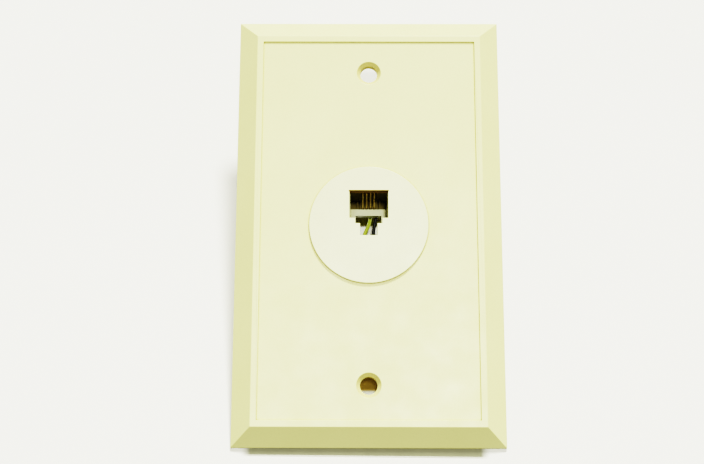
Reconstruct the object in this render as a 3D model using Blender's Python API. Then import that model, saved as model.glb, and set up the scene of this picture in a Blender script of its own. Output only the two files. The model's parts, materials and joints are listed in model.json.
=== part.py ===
"""Single-gang telephone wall plate with a flush modular jack.

The frame has +Z up, the plate's face looking along -Y and the wall at Y = 0. The origin is the
centre of the plate's back rim. A round cover in front of the plate and a terminal base behind it
hold the plate and the jack insert between them. Run with Blender 4.5.
"""
import math

import bmesh
import bpy
from mathutils import Matrix, Vector

MM = 0.001

# Gaps that keep touching pieces apart.
SEAT_GAP = 0.05 * MM
FIT_GAP = 0.15 * MM

# Plate: a sloped border, a narrow flat rim and a panel sunk below the rim.
PLATE_WIDTH = 69.85 * MM
PLATE_HEIGHT = 114.3 * MM
PLATE_DEPTH = 4.5 * MM
EDGE_BAND = 0.8 * MM
BORDER_WIDTH = 5.05 * MM
RIM_WIDTH = 1.64 * MM
PANEL_RECESS = 0.4 * MM
PANEL_THICKNESS = 2.7 * MM
POCKET_INSET_BACK = 2.5 * MM
POCKET_INSET_PANEL = 3.9 * MM
JACK_HOLE_RADIUS = 14.2 * MM

# Plate screw holes, for two 6-32 oval-head screws.
SCREW_SPACING = 83.34 * MM
SCREW_HOLE_RADIUS = 2.25 * MM
COUNTERSINK_RADIUS = 3.22 * MM
COUNTERSINK_DEPTH = 1.1 * MM

# Levels along Y.
PANEL_FRONT = -PLATE_DEPTH + PANEL_RECESS
PANEL_BACK = PANEL_FRONT + PANEL_THICKNESS

# Round jack cover: a flange in front of the panel and a neck through the plate.
COVER_RADIUS = 15.55 * MM
COVER_THICKNESS = 0.6 * MM
COVER_EDGE_RADIUS = 0.2 * MM
NECK_RADIUS = 13.9 * MM
FRONT_WALL = 2.9 * MM
COVER_BACK = PANEL_FRONT - SEAT_GAP
COVER_FRONT = COVER_BACK - COVER_THICKNESS
WALL_BACK = COVER_FRONT + FRONT_WALL
NECK_END = -0.4 * MM

# Jack opening in the cover: plug socket above, latch slot in two steps below.
SOCKET_HALF = 5.06 * MM
SOCKET_TOP = 9.07 * MM
SOCKET_FLOOR = 1.68 * MM
STEP_HALF = 3.54 * MM
STEP_FLOOR = 0.28 * MM
LATCH_HALF = 2.27 * MM
LATCH_FLOOR = -2.92 * MM

# Jack insert: a moulded box whose cavity takes the plug.
INSERT_HALF = 6.6 * MM
INSERT_TOP = 10.9 * MM
INSERT_BOTTOM = -4.2 * MM
INSERT_FRONT = WALL_BACK + SEAT_GAP
INSERT_BACK = 8.3 * MM
CAVITY_HALF = 4.86 * MM
CAVITY_TOP = 9.12 * MM
CAVITY_END = 6.1 * MM
REAR_NOTCH_HALF = 3.45 * MM
REAR_NOTCH_TOP = 4.86 * MM
EAR_HALF = 7.9 * MM
EAR_BOTTOM = -1.0 * MM
EAR_TOP = 5.0 * MM
EAR_BACK = -0.45 * MM

# Contact wires and the comb that guides their free ends.
CONTACT_PITCH = 1.02 * MM
CONTACT_RADIUS = 0.23 * MM
CONTACT_SLOPE = math.radians(13.4)
CONTACT_LENGTH = 7.75 * MM
CONTACT_BEND = 0.45 * MM
CONTACT_RUN_LEVEL = 10.55 * MM
CONTACT_FRONT = -1.42 * MM
CONTACT_TAIL_END = 4.2 * MM
BEND_TOP = 9.2 * MM
COMB_SLOT_WIDTH = 0.56 * MM
COMB_SLOT_FLOOR = 6.62 * MM
COMB_SLOT_DEPTH = 1.6 * MM
COMB_WINDOW_INNER = 3.1 * MM
COMB_WINDOW_FLOOR = 6.9 * MM
COMB_WINDOW_DEPTH = 1.7 * MM
GROOVE_WIDTH = 0.7 * MM
GROOVE_FLOOR = 10.2 * MM

# Leads from the contacts to the terminals.
LEAD_RADIUS = 0.475 * MM
LEAD_LEVEL = 10.62 * MM
LEAD_START = 4.45 * MM
LEAD_STEP = 1.6 * MM
LEAD_CHANNEL_HALF = 2.2 * MM
LEAD_CHANNEL_FLOOR = 10.1 * MM

# Retainer that covers the joints between contacts and leads.
RETAINER_HALF = 5.5 * MM
RETAINER_TOP = 12.4 * MM
RETAINER_FRONT = 4.35 * MM
RETAINER_CHANNEL_TOP = 11.2 * MM

# Terminal base behind the plate.
BASE_HALF_WIDTH = 23.0 * MM
BASE_HALF_HEIGHT = 18.0 * MM
BASE_CORNER = 2.0 * MM
BASE_FRONT = PANEL_BACK + SEAT_GAP
BASE_BACK = 2.0 * MM
NECK_RECESS_RADIUS = 14.1 * MM
NECK_RECESS_FLOOR = NECK_END + SEAT_GAP
COLLAR_HALF = 7.9 * MM
COLLAR_TOP = 12.3 * MM
COLLAR_BOTTOM = -5.6 * MM
COLLAR_BACK = 4.2 * MM
BARRIER_INNER = 14.5 * MM
BARRIER_HALF = 0.6 * MM
BARRIER_BACK = 7.0 * MM

# Terminals: a boss, a brass plate, a spade lug, a washer and a screw, from the base outwards.
TERMINAL_X = 16.5 * MM
TERMINAL_Z = 11.5 * MM
BOSS_HALF_WIDTH = 5.0 * MM
BOSS_HALF_HEIGHT = 4.5 * MM
BOSS_BACK = 6.0 * MM
BRASS_HALF = 4.0 * MM
BRASS_CORNER = 0.6 * MM
BRASS_THICKNESS = 0.8 * MM
LUG_THICKNESS = 0.5 * MM
LUG_RADIUS = 3.4 * MM
BARREL_RADIUS = 0.95 * MM
BARREL_BORE = 0.62 * MM
BARREL_START = 4.4 * MM
BARREL_LENGTH = 2.8 * MM
WASHER_RADIUS = 3.8 * MM
WASHER_THICKNESS = 0.6 * MM
SHANK_RADIUS = 2.0 * MM
SHANK_LENGTH = 7.5 * MM
TERMINAL_HOLE_RADIUS = SHANK_RADIUS + FIT_GAP
TERMINAL_HOLE_END = -0.1 * MM
HEAD_RADIUS = 3.7 * MM
HEAD_HEIGHT = 2.5 * MM
DRIVE_SLOT_WIDTH = 1.0 * MM
DRIVE_SLOT_DEPTH = 1.3 * MM
DRIVE_CROSS_LENGTH = 3.6 * MM

BRASS_FRONT = BOSS_BACK + SEAT_GAP
LUG_FRONT = BRASS_FRONT + BRASS_THICKNESS + SEAT_GAP
WASHER_FRONT = LUG_FRONT + LUG_THICKNESS + SEAT_GAP
HEAD_SEAT = WASHER_FRONT + WASHER_THICKNESS + SEAT_GAP
BARREL_LEVEL = LUG_FRONT + BARREL_RADIUS

# Two self-tapping screws hold the base to the cover.
BASE_SCREW_X = 10.8 * MM
BASE_SCREW_RADIUS = 0.9 * MM
BASE_SCREW_LENGTH = 5.3 * MM
BASE_SCREW_HEAD_RADIUS = 2.1 * MM
BASE_SCREW_HEAD_HEIGHT = 1.5 * MM
PILOT_HOLE_DEPTH = 3.1 * MM

ROUND_SIDES = 96
HOLE_SIDES = 40
SCREW_SIDES = 24
CUT_OVERRUN = 0.5 * MM

# Each terminal: the side of the jack it is on, its corner and the direction its lug faces.
TERMINALS = {
    "red": (-1, 1, (0.96, -0.28)),
    "green": (1, 1, (-0.96, -0.28)),
    "yellow": (-1, -1, (0.90, 0.436)),
    "black": (1, -1, (-0.90, 0.436)),
}

# Contact positions counted from the left: the second to fifth of six carry a wire.
LEAD_OF_CONTACT = ("black", "red", "green", "yellow")

# Where each lead runs between the retainer and its lug, in millimetres.
LEAD_ROUTES_MM = {
    "black": [(-1.35, 9.7, 11.2), (0.2, 10.6, 12.6), (2.6, 10.9, 13.3), (4.3, 10.4, 12.2),
              (3.3, 9.7, 9.9), (2.6, 9.4, 7.8), (1.95, 9.3, 4.5), (1.45, 9.5, 1.0),
              (2.3, 10.1, -2.5), (4.2, 9.7, -5.0), (6.4, 8.7, -6.6)],
    "red": [(-0.6, 9.9, 9.9), (-2.2, 11.4, 9.6), (-4.6, 11.6, 9.5), (-6.6, 10.4, 9.3),
            (-7.9, 8.6, 9.2)],
    "green": [(0.6, 10.2, 10.0), (1.5, 12.1, 9.9), (4.0, 12.8, 9.8), (6.3, 11.2, 9.5),
              (7.9, 8.8, 9.2)],
    "yellow": [(1.5, 9.6, 10.1), (1.1, 10.3, 8.0), (0.6, 10.1, 5.5), (0.15, 9.7, 3.3),
               (-0.9, 9.7, 0.9), (-2.2, 10.1, -2.5), (-4.2, 9.7, -5.0), (-6.4, 8.7, -6.6)],
}


# ---------------------------------------------------------------- scene and materials

def clear_scene():
    for old in list(bpy.data.objects):
        bpy.data.objects.remove(old, do_unlink=True)


def make_material(name, colour, roughness, metallic=0.0):
    material = bpy.data.materials.new(name)
    material.use_nodes = True
    shader = material.node_tree.nodes["Principled BSDF"]
    shader.inputs["Base Color"].default_value = (*colour, 1.0)
    shader.inputs["Roughness"].default_value = roughness
    shader.inputs["Metallic"].default_value = metallic
    return material


def add_object(name, data, material=None):
    thing = bpy.data.objects.new(name, data)
    bpy.context.scene.collection.objects.link(thing)
    if material is not None:
        data.materials.append(material)
    return thing


def add_axis(name, place):
    """An empty that stands on a joint's axis, for the moving pieces to hang on."""
    axis = add_object(name, None)
    axis.location = place
    return axis


def hang_on(piece, axis):
    """Parent a piece to an axis and keep the piece where it is."""
    piece.parent = axis
    piece.matrix_parent_inverse = Matrix.Translation(-axis.location)


# ---------------------------------------------------------------- outlines in the XZ plane

def rectangle(half_width, half_height, centre=(0.0, 0.0)):
    x, z = centre
    return [(x - half_width, z - half_height), (x + half_width, z - half_height),
            (x + half_width, z + half_height), (x - half_width, z + half_height)]


def box_outline(left, right, bottom, top):
    return [(left, bottom), (right, bottom), (right, top), (left, top)]


def rounded_rectangle(half_width, half_height, radius, centre=(0.0, 0.0), steps=5):
    points = []
    for turn, (side_x, side_z) in enumerate(((1, 1), (-1, 1), (-1, -1), (1, -1))):
        corner_x = centre[0] + side_x * (half_width - radius)
        corner_z = centre[1] + side_z * (half_height - radius)
        for step in range(steps + 1):
            angle = math.pi / 2 * (turn + step / steps)
            points.append((corner_x + radius * math.cos(angle), corner_z + radius * math.sin(angle)))
    return points


def circle(radius, centre=(0.0, 0.0), sides=HOLE_SIDES):
    return [(centre[0] + radius * math.cos(2 * math.pi * step / sides),
             centre[1] + radius * math.sin(2 * math.pi * step / sides)) for step in range(sides)]


def jack_outline(socket_half, socket_top):
    """Plug socket with the latch slot below it, in two steps."""
    right = [(socket_half, socket_top), (socket_half, SOCKET_FLOOR), (STEP_HALF, SOCKET_FLOOR),
             (STEP_HALF, STEP_FLOOR), (LATCH_HALF, STEP_FLOOR), (LATCH_HALF, LATCH_FLOOR)]
    left = [(-x, z) for x, z in reversed(right)]
    return right + left


# ---------------------------------------------------------------- solids

def mesh_from_rings(name, rings, closed=False):
    """Join rings of points into one skin. The ends get caps, or meet when the skin is closed."""
    model = bmesh.new()
    vertex_rings = [[model.verts.new(point) for point in ring] for ring in rings]
    pairs = list(zip(vertex_rings, vertex_rings[1:]))
    if closed:
        pairs.append((vertex_rings[-1], vertex_rings[0]))
    else:
        model.faces.new(vertex_rings[0])
        model.faces.new(vertex_rings[-1])
    for ring, after in pairs:
        count = len(ring)
        for step in range(count):
            follower = (step + 1) % count
            model.faces.new((ring[step], ring[follower], after[follower], after[step]))
    bmesh.ops.recalc_face_normals(model, faces=model.faces)
    mesh = bpy.data.meshes.new(name)
    model.to_mesh(mesh)
    model.free()
    return mesh


def ring_at(outline, level):
    return [(x, level, z) for x, z in outline]


def prism(name, outline, front, back, material=None):
    rings = [ring_at(outline, front), ring_at(outline, back)]
    return add_object(name, mesh_from_rings(name, rings), material)


def turned_solid(name, profile, centre, sides, material=None):
    """Turn (radius, level) points about an axis along Y."""
    rings = [ring_at(circle(radius, centre, sides), level) for radius, level in profile]
    return add_object(name, mesh_from_rings(name, rings), material)


def turned_ring(name, bore, radius, front, back, centre, sides, material=None):
    profile = ((bore, front), (radius, front), (radius, back), (bore, back))
    rings = [ring_at(circle(size, centre, sides), level) for size, level in profile]
    return add_object(name, mesh_from_rings(name, rings, closed=True), material)


def combine(target, other, operation):
    """Apply a Boolean to the target's mesh and remove the other solid."""
    modifier = target.modifiers.new("combine", "BOOLEAN")
    modifier.operation = operation
    modifier.solver = "EXACT"
    modifier.object = other
    evaluated = target.evaluated_get(bpy.context.evaluated_depsgraph_get())
    result = bpy.data.meshes.new_from_object(evaluated)
    target.modifiers.clear()
    result.name = target.name
    target.data = result
    bpy.data.objects.remove(other, do_unlink=True)


def cut(target, outline, front, back):
    combine(target, prism("cutter", outline, front, back), "DIFFERENCE")


def grow(target, outline, front, back):
    combine(target, prism("addition", outline, front, back), "UNION")


def smooth_round_faces(piece, angle=math.radians(35)):
    piece.data.shade_smooth()
    piece.data.set_sharp_from_angle(angle=angle)


def smooth_points(route, step):
    """Points about a step apart on a smooth curve through the route (Catmull-Rom)."""
    points = [Vector(point) for point in route]
    ends = [2 * points[0] - points[1]] + points + [2 * points[-1] - points[-2]]
    result = [points[0]]
    for before, start, stop, after in zip(ends, ends[1:], ends[2:], ends[3:]):
        count = max(1, round((stop - start).length / step))
        for index in range(1, count + 1):
            t = index / count
            result.append(0.5 * (2 * start + (stop - before) * t
                                 + (2 * before - 5 * start + 4 * stop - after) * t ** 2
                                 + (3 * start - before - 3 * stop + after) * t ** 3))
    return result


def wire(name, points, radius, material, resolution=1):
    curve = bpy.data.curves.new(name, "CURVE")
    curve.dimensions = "3D"
    curve.bevel_depth = radius
    curve.bevel_resolution = resolution
    curve.use_fill_caps = True
    spline = curve.splines.new("POLY")
    spline.points.add(len(points) - 1)
    for slot, point in zip(spline.points, points):
        slot.co = (*point, 1.0)
    return add_object(name, curve, material)


# ---------------------------------------------------------------- plate

def build_wall_plate(material):
    half_width = PLATE_WIDTH / 2
    half_height = PLATE_HEIGHT / 2
    levels = (
        (POCKET_INSET_PANEL, PANEL_BACK),
        (POCKET_INSET_BACK, 0.0),
        (0.0, 0.0),
        (0.0, -EDGE_BAND),
        (BORDER_WIDTH, -PLATE_DEPTH),
        (BORDER_WIDTH + RIM_WIDTH, -PLATE_DEPTH),
        (BORDER_WIDTH + RIM_WIDTH, PANEL_FRONT),
    )
    rings = [ring_at(rectangle(half_width - inset, half_height - inset), level)
             for inset, level in levels]
    plate = add_object("wall_plate", mesh_from_rings("wall_plate", rings), material)
    cut(plate, circle(JACK_HOLE_RADIUS, sides=ROUND_SIDES), PANEL_FRONT - CUT_OVERRUN,
        PANEL_BACK + CUT_OVERRUN)
    slope = (COUNTERSINK_RADIUS - SCREW_HOLE_RADIUS) / COUNTERSINK_DEPTH
    for side in (-1, 1):
        profile = (
            (COUNTERSINK_RADIUS + slope * CUT_OVERRUN, PANEL_FRONT - CUT_OVERRUN),
            (SCREW_HOLE_RADIUS, PANEL_FRONT + COUNTERSINK_DEPTH),
            (SCREW_HOLE_RADIUS, PANEL_BACK + CUT_OVERRUN),
        )
        centre = (0.0, side * SCREW_SPACING / 2)
        hole = turned_solid("cutter", profile, centre, HOLE_SIDES)
        combine(plate, hole, "DIFFERENCE")
    return plate


# ---------------------------------------------------------------- jack cover

def build_jack_cover(material):
    edge_steps = 3
    rim = []
    for step in range(edge_steps + 1):
        angle = math.pi / 2 * step / edge_steps
        rim.append((COVER_RADIUS - COVER_EDGE_RADIUS * (1 - math.sin(angle)),
                    COVER_FRONT + COVER_EDGE_RADIUS * (1 - math.cos(angle))))
    profile = rim + [(COVER_RADIUS, COVER_BACK), (NECK_RADIUS, COVER_BACK), (NECK_RADIUS, NECK_END)]
    cover = turned_solid("jack_cover", profile, (0.0, 0.0), ROUND_SIDES, material)
    pocket = box_outline(-INSERT_HALF - FIT_GAP, INSERT_HALF + FIT_GAP,
                         INSERT_BOTTOM - FIT_GAP, INSERT_TOP + FIT_GAP)
    cut(cover, pocket, WALL_BACK, NECK_END + CUT_OVERRUN)
    ears = box_outline(-EAR_HALF - FIT_GAP, EAR_HALF + FIT_GAP,
                       EAR_BOTTOM - FIT_GAP, EAR_TOP + FIT_GAP)
    cut(cover, ears, WALL_BACK, NECK_END + CUT_OVERRUN)
    cut(cover, jack_outline(SOCKET_HALF, SOCKET_TOP), COVER_FRONT - CUT_OVERRUN,
        WALL_BACK + CUT_OVERRUN)
    for side in (-1, 1):
        pilot = circle(BASE_SCREW_RADIUS + FIT_GAP, (side * BASE_SCREW_X, 0.0), SCREW_SIDES)
        cut(cover, pilot, NECK_END - PILOT_HOLE_DEPTH, NECK_END + CUT_OVERRUN)
    smooth_round_faces(cover)
    return cover


# ---------------------------------------------------------------- jack insert

def build_jack_insert(material):
    body = box_outline(-INSERT_HALF, INSERT_HALF, INSERT_BOTTOM, INSERT_TOP)
    insert = prism("jack_insert", body, INSERT_FRONT, INSERT_BACK, material)
    grow(insert, box_outline(-EAR_HALF, EAR_HALF, EAR_BOTTOM, EAR_TOP), INSERT_FRONT, EAR_BACK)

    past_front = INSERT_FRONT - CUT_OVERRUN
    past_back = INSERT_BACK + CUT_OVERRUN
    past_top = INSERT_TOP + CUT_OVERRUN
    cut(insert, jack_outline(CAVITY_HALF, CAVITY_TOP), past_front, CAVITY_END)

    # The latch slot runs on through the rear wall and widens above.
    notch = [(-LATCH_HALF, LATCH_FLOOR), (LATCH_HALF, LATCH_FLOOR), (LATCH_HALF, STEP_FLOOR),
             (REAR_NOTCH_HALF, STEP_FLOOR), (REAR_NOTCH_HALF, REAR_NOTCH_TOP),
             (-REAR_NOTCH_HALF, REAR_NOTCH_TOP), (-REAR_NOTCH_HALF, STEP_FLOOR),
             (-LATCH_HALF, STEP_FLOOR)]
    cut(insert, notch, CAVITY_END - CUT_OVERRUN, past_back)

    for side in (-1, 1):
        edges = sorted((side * COMB_WINDOW_INNER, side * CAVITY_HALF))
        window = box_outline(*edges, COMB_WINDOW_FLOOR, CAVITY_TOP)
        cut(insert, window, CAVITY_END - CUT_OVERRUN, CAVITY_END + COMB_WINDOW_DEPTH)
    for position in range(6):
        x = contact_place(position)
        slot = box_outline(x - COMB_SLOT_WIDTH / 2, x + COMB_SLOT_WIDTH / 2,
                           COMB_SLOT_FLOOR, CAVITY_TOP)
        cut(insert, slot, CAVITY_END - CUT_OVERRUN, CAVITY_END + COMB_SLOT_DEPTH)

    # Grooves along the top for the contacts, one channel behind them for the leads.
    for position in range(1, 5):
        x = contact_place(position)
        groove = box_outline(x - GROOVE_WIDTH / 2, x + GROOVE_WIDTH / 2, GROOVE_FLOOR, past_top)
        cut(insert, groove, past_front, LEAD_START)
    channel = box_outline(-LEAD_CHANNEL_HALF, LEAD_CHANNEL_HALF, LEAD_CHANNEL_FLOOR, past_top)
    cut(insert, channel, RETAINER_FRONT - FIT_GAP, past_back)
    lip = box_outline(-LEAD_CHANNEL_HALF, LEAD_CHANNEL_HALF, CAVITY_TOP - CUT_OVERRUN, past_top)
    cut(insert, lip, past_front, CONTACT_FRONT + 2 * CONTACT_RADIUS)
    return insert


def contact_place(position):
    """Middle of a contact position, counted from 0 at the left."""
    return (position - 2.5) * CONTACT_PITCH


def build_lead_retainer(material):
    body = box_outline(-RETAINER_HALF, RETAINER_HALF, INSERT_TOP + SEAT_GAP, RETAINER_TOP)
    retainer = prism("lead_retainer", body, RETAINER_FRONT, INSERT_BACK, material)
    channel = box_outline(-LEAD_CHANNEL_HALF, LEAD_CHANNEL_HALF, INSERT_TOP - CUT_OVERRUN,
                          RETAINER_CHANNEL_TOP)
    cut(retainer, channel, RETAINER_FRONT - CUT_OVERRUN, INSERT_BACK + CUT_OVERRUN)
    return retainer


# ---------------------------------------------------------------- contacts

def bend_point(angle):
    """Centre line of the bend that turns a contact from downwards to backwards."""
    centre_y = CONTACT_FRONT + CONTACT_BEND
    return (centre_y - CONTACT_BEND * math.cos(angle), BEND_TOP - CONTACT_BEND * math.sin(angle))


def contact_hinge(position):
    """Where the spring part of a contact starts to bend."""
    y, z = bend_point(math.pi / 2 - CONTACT_SLOPE)
    return Vector((contact_place(position), y, z))


def build_contact_tail(number, position, material):
    """The fixed part: along the insert's top, over its front lip and down to the bend."""
    x = contact_place(position)
    corner_y = CONTACT_FRONT + CONTACT_BEND
    corner_z = CONTACT_RUN_LEVEL - CONTACT_BEND
    points = [(x, CONTACT_TAIL_END, CONTACT_RUN_LEVEL), (x, corner_y, CONTACT_RUN_LEVEL)]
    for angle in (math.radians(60), math.radians(30), 0.0):
        points.append((x, corner_y - CONTACT_BEND * math.cos(angle),
                       corner_z + CONTACT_BEND * math.sin(angle)))
    for degrees in (0, 25, 45, 65):
        points.append((x, *bend_point(math.radians(degrees))))
    return wire(f"contact_tail_{number}", points, CONTACT_RADIUS, material)


def build_contact_spring(number, position, material):
    """The part that the plug lifts: it slopes back and down from the bend into the comb."""
    hinge = contact_hinge(position)
    along = Vector((0.0, math.cos(CONTACT_SLOPE), -math.sin(CONTACT_SLOPE)))
    points = [hinge + along * CONTACT_LENGTH * share for share in (0.0, 0.5, 1.0)]
    spring = wire(f"contact_spring_{number}", points, CONTACT_RADIUS, material)
    hang_on(spring, add_axis(f"contact_axis_{number}", hinge))
    return spring


# ---------------------------------------------------------------- terminal base

def terminal_centre(colour):
    side, level, _ = TERMINALS[colour]
    return (side * TERMINAL_X, level * TERMINAL_Z)


def build_terminal_base(material):
    outline = rounded_rectangle(BASE_HALF_WIDTH, BASE_HALF_HEIGHT, BASE_CORNER)
    base = prism("terminal_base", outline, BASE_FRONT, BASE_BACK, material)
    sunk = BASE_BACK - CUT_OVERRUN
    for colour in TERMINALS:
        boss = rounded_rectangle(BOSS_HALF_WIDTH, BOSS_HALF_HEIGHT, BRASS_CORNER,
                                 terminal_centre(colour), steps=2)
        grow(base, boss, sunk, BOSS_BACK)
    grow(base, box_outline(-COLLAR_HALF, COLLAR_HALF, COLLAR_BOTTOM, COLLAR_TOP), sunk, COLLAR_BACK)
    for side in (-1, 1):
        edges = sorted((side * BARRIER_INNER, side * (BASE_HALF_WIDTH - BASE_CORNER)))
        grow(base, box_outline(*edges, -BARRIER_HALF, BARRIER_HALF), sunk, BARRIER_BACK)

    past_front = BASE_FRONT - CUT_OVERRUN
    cut(base, circle(NECK_RECESS_RADIUS, sides=ROUND_SIDES), past_front, NECK_RECESS_FLOOR)
    hole = box_outline(-INSERT_HALF - FIT_GAP, INSERT_HALF + FIT_GAP,
                       INSERT_BOTTOM - FIT_GAP, INSERT_TOP + FIT_GAP)
    cut(base, hole, past_front, COLLAR_BACK + CUT_OVERRUN)
    for colour in TERMINALS:
        bore = circle(TERMINAL_HOLE_RADIUS, terminal_centre(colour), SCREW_SIDES)
        cut(base, bore, TERMINAL_HOLE_END, BOSS_BACK + CUT_OVERRUN)
    for side in (-1, 1):
        bore = circle(BASE_SCREW_RADIUS + FIT_GAP, (side * BASE_SCREW_X, 0.0), SCREW_SIDES)
        cut(base, bore, past_front, BASE_BACK + CUT_OVERRUN)
    return base


# ---------------------------------------------------------------- terminals

def build_terminal_plate(colour, material):
    centre = terminal_centre(colour)
    outline = rounded_rectangle(BRASS_HALF, BRASS_HALF, BRASS_CORNER, centre, steps=2)
    plate = prism(f"terminal_plate_{colour}", outline, BRASS_FRONT,
                  BRASS_FRONT + BRASS_THICKNESS, material)
    cut(plate, circle(TERMINAL_HOLE_RADIUS, centre, SCREW_SIDES), BRASS_FRONT - CUT_OVERRUN,
        BRASS_FRONT + BRASS_THICKNESS + CUT_OVERRUN)
    return plate


def lug_points(colour, *distances):
    """Points on the lug's centre line, at these distances from the screw, at the barrel's level."""
    x, z = terminal_centre(colour)
    along_x, along_z = TERMINALS[colour][2]
    return [Vector((x + along_x * distance, BARREL_LEVEL, z + along_z * distance))
            for distance in distances]


def build_spade_lug(colour, material):
    """A fork under the screw's washer, and a barrel that grips the lead."""
    slot_half = TERMINAL_HOLE_RADIUS
    tongue_half = BARREL_RADIUS
    neck = BARREL_START + SEAT_GAP
    prong_end = -LUG_RADIUS * 0.7
    arc_from = math.asin(tongue_half / LUG_RADIUS)
    arc_to = math.acos(prong_end / LUG_RADIUS)
    arc_steps = 8
    upper = [(neck, tongue_half)]
    for step in range(arc_steps + 1):
        angle = arc_from + (arc_to - arc_from) * step / arc_steps
        upper.append((LUG_RADIUS * math.cos(angle), LUG_RADIUS * math.sin(angle)))
    upper.append((prong_end, slot_half))
    inner_steps = 6
    for step in range(inner_steps + 1):
        angle = math.pi / 2 * (1 - step / inner_steps)
        upper.append((slot_half * math.cos(angle), slot_half * math.sin(angle)))
    lower = [(along, -across) for along, across in reversed(upper[:-1])]
    centre_x, centre_z = terminal_centre(colour)
    along_x, along_z = TERMINALS[colour][2]
    outline = [(centre_x + along * along_x - across * along_z,
                centre_z + along * along_z + across * along_x) for along, across in upper + lower]
    lug = prism(f"spade_lug_{colour}", outline, LUG_FRONT, LUG_FRONT + LUG_THICKNESS, material)

    start, stop = lug_points(colour, BARREL_START, BARREL_START + BARREL_LENGTH)
    axis = (stop - start).normalized()
    upwards = Vector((0.0, 1.0, 0.0))
    sideways = axis.cross(upwards)
    rings = []
    for radius, place in ((BARREL_BORE, start), (BARREL_RADIUS, start),
                          (BARREL_RADIUS, stop), (BARREL_BORE, stop)):
        rings.append([place + radius * (upwards * math.cos(angle) + sideways * math.sin(angle))
                      for angle in (2 * math.pi * step / 12 for step in range(12))])
    barrel = add_object("barrel", mesh_from_rings("barrel", rings, closed=True))
    combine(lug, barrel, "UNION")
    return lug


def build_terminal_washer(colour, material):
    return turned_ring(f"terminal_washer_{colour}", TERMINAL_HOLE_RADIUS, WASHER_RADIUS,
                       WASHER_FRONT, WASHER_FRONT + WASHER_THICKNESS, terminal_centre(colour),
                       SCREW_SIDES, material)


def build_pan_screw(name, centre, shank_radius, shank_length, seat, head_radius, head_height,
                    material):
    """A pan-head screw that points along -Y: tip, shank, seat and domed head."""
    tip = shank_radius * 0.6
    profile = (
        (tip, seat - shank_length),
        (shank_radius, seat - shank_length + (shank_radius - tip)),
        (shank_radius, seat),
        (head_radius, seat),
        (head_radius, seat + head_height * 0.45),
        (head_radius * 0.93, seat + head_height * 0.75),
        (head_radius * 0.72, seat + head_height * 0.95),
        (head_radius * 0.40, seat + head_height),
    )
    return turned_solid(name, profile, centre, SCREW_SIDES, material)


def build_terminal_screw(colour, material):
    centre = terminal_centre(colour)
    screw = build_pan_screw(f"terminal_screw_{colour}", centre, SHANK_RADIUS, SHANK_LENGTH,
                            HEAD_SEAT, HEAD_RADIUS, HEAD_HEIGHT, material)
    head_top = HEAD_SEAT + HEAD_HEIGHT
    slot = rectangle(HEAD_RADIUS + CUT_OVERRUN, DRIVE_SLOT_WIDTH / 2, centre)
    cut(screw, slot, head_top - DRIVE_SLOT_DEPTH, head_top + CUT_OVERRUN)
    cross = rectangle(DRIVE_SLOT_WIDTH / 2, DRIVE_CROSS_LENGTH / 2, centre)
    cut(screw, cross, head_top - DRIVE_SLOT_DEPTH, head_top + CUT_OVERRUN)
    smooth_round_faces(screw)
    return screw


def build_base_screw(name, side, material):
    centre = (side * BASE_SCREW_X, 0.0)
    seat = BASE_BACK + SEAT_GAP
    screw = build_pan_screw(name, centre, BASE_SCREW_RADIUS, BASE_SCREW_LENGTH, seat,
                            BASE_SCREW_HEAD_RADIUS, BASE_SCREW_HEAD_HEIGHT, material)
    head_top = seat + BASE_SCREW_HEAD_HEIGHT
    slot_depth = BASE_SCREW_HEAD_HEIGHT / 2
    for half_x, half_z in ((1.2 * MM, 0.25 * MM), (0.25 * MM, 1.2 * MM)):
        cut(screw, rectangle(half_x, half_z, centre), head_top - slot_depth,
            head_top + CUT_OVERRUN)
    smooth_round_faces(screw)
    return screw


# ---------------------------------------------------------------- leads

def lead_route(colour, position):
    """From the joint with the contact, along the lead's way, into the barrel of its lug."""
    x = contact_place(position)
    start = [Vector((x, LEAD_START, LEAD_LEVEL)), Vector((x, INSERT_BACK, LEAD_LEVEL))]
    way = [Vector(point) * MM for point in LEAD_ROUTES_MM[colour]]
    barrel_end = BARREL_START + BARREL_LENGTH
    finish = lug_points(colour, barrel_end + 1.0 * MM, barrel_end, BARREL_START + 0.5 * MM)
    return start + way + finish


def build_lead(colour, position, material):
    points = smooth_points(lead_route(colour, position), LEAD_STEP)
    return wire(f"lead_{colour}", points, LEAD_RADIUS, material, resolution=2)


# ---------------------------------------------------------------- whole object

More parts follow.
